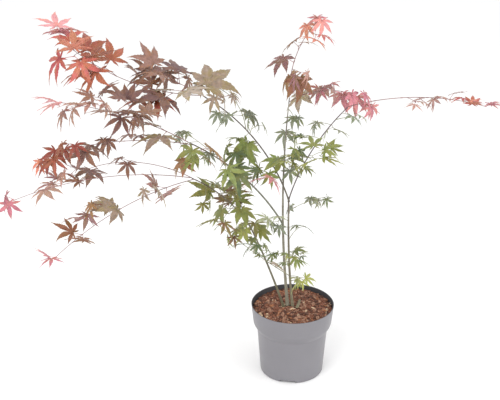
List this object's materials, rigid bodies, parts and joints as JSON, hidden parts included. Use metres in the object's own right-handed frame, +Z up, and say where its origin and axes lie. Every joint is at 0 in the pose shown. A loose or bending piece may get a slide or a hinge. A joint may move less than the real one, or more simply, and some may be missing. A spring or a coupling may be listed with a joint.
{
  "type": "potted japanese maple",
  "caption": "Young Japanese maple of several thin stems in a round nursery pot, its long shoots arching far out to one side under lobed leaves.",
  "frame": {"origin": "middle of the pot's flat underside", "axes": "+Z up the pot's axis, -Y towards the plant's front, -X towards its long arching shoots"},
  "size_m": [1.0369, 0.4826, 0.8289],
  "materials": {
    "pot": "matte moulded plastic",
    "growing_mix": "coarse bark",
    "bark": "young smooth bark",
    "leaf_lime": "soft leaf",
    "leaf_green": "soft leaf",
    "leaf_olive": "soft leaf",
    "leaf_bronze": "soft leaf",
    "leaf_mauve": "soft leaf",
    "leaf_coral": "soft leaf",
    "leaf_rose": "soft leaf"
  },
  "bodies": {
    "root": {"pot": "pot", "growing_mix": "growing_mix", "bough_high": "bark", "bough_left": "bark", "bough_low": "bark", "bough_right": "bark", "pruned_stub": "bark", "stem_left": "bark", "stem_main": "bark", "stem_right": "bark", "spray_high_back": "leaf_olive", "spray_high_crest": "leaf_green", "spray_high_far": "leaf_coral", "spray_high_front": "leaf_green", "spray_high_hanging": "leaf_bronze", "spray_high_inner": "leaf_green", "spray_high_near": "leaf_mauve", "spray_leader_arch": "leaf_rose", "spray_leader_top": "leaf_bronze", "spray_left_far": "leaf_mauve", "spray_left_front": "leaf_green", "spray_left_hanging": "leaf_bronze", "spray_left_mid": "leaf_mauve", "spray_left_rear": "leaf_green", "spray_left_salmon": "leaf_rose", "spray_low_arch": "leaf_rose", "spray_low_crest": "leaf_olive", "spray_low_cross": "leaf_green", "spray_low_drop": "leaf_bronze", "spray_low_front": "leaf_green", "spray_low_heart": "leaf_olive", "spray_low_rear": "leaf_green", "spray_low_rise": "leaf_mauve", "spray_low_under": "leaf_green", "spray_main_front": "leaf_lime", "spray_main_rear_high": "leaf_green", "spray_main_rear_mid": "leaf_green", "spray_right_foot_bright": "leaf_lime", "spray_right_foot_front": "leaf_green", "spray_right_foot_high": "leaf_olive", "spray_right_foot_low": "leaf_lime", "spray_right_foot_mid": "leaf_green", "spray_right_foot_rear": "leaf_olive", "spray_right_foot_side": "leaf_lime", "spray_right_front": "leaf_green", "spray_right_inner": "leaf_green", "spray_right_outer": "leaf_olive", "spray_right_reach": "leaf_coral", "spray_right_rear": "leaf_green", "spray_stem_left_front": "leaf_olive", "spray_stem_left_low": "leaf_green", "spray_stem_left_rear": "leaf_green"}
  },
  "joints": []
}
